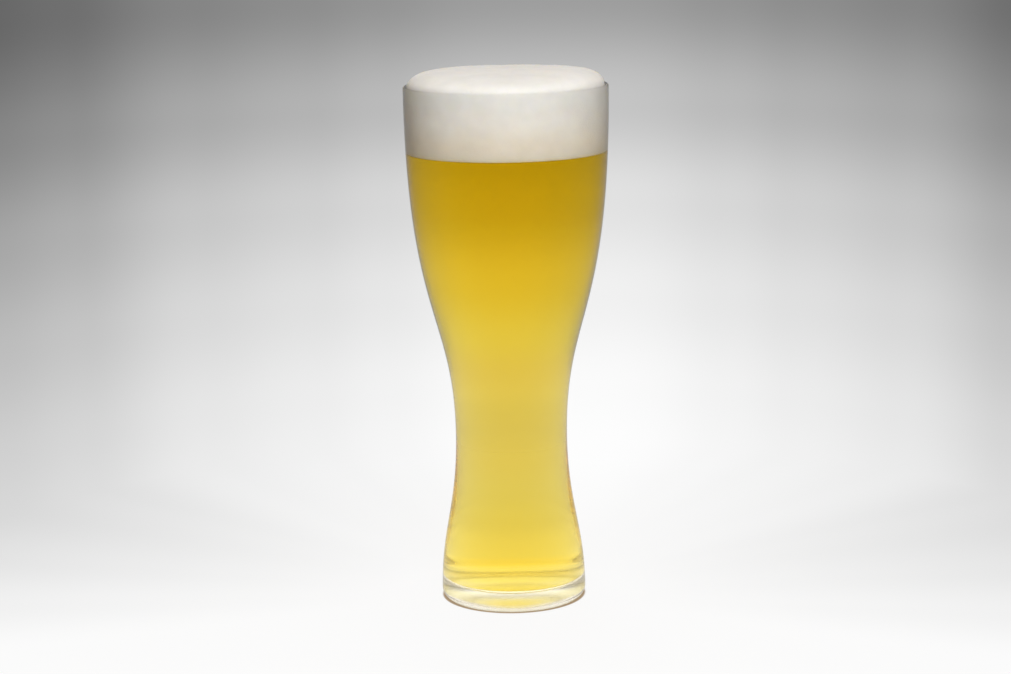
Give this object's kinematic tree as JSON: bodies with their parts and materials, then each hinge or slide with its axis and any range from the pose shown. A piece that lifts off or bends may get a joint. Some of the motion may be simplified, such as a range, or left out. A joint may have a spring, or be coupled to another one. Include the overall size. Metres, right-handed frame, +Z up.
{
  "type": "pilsner glass",
  "caption": "Tall waisted beer glass of clear glass with a swelling foot, poured full of pale lager under a low dome of white foam.",
  "frame": {"origin": "centre of the base, on the surface that the glass stands on", "axes": "+Z up along the axis that every piece is turned about"},
  "size_m": [0.0838, 0.0838, 0.2218],
  "materials": {
    "clear_glass": "polished",
    "pale_lager": "gloss",
    "white_foam": "matte"
  },
  "bodies": {
    "root": {"glass": "clear_glass", "beer": "pale_lager", "foam_head": "white_foam"}
  },
  "joints": []
}
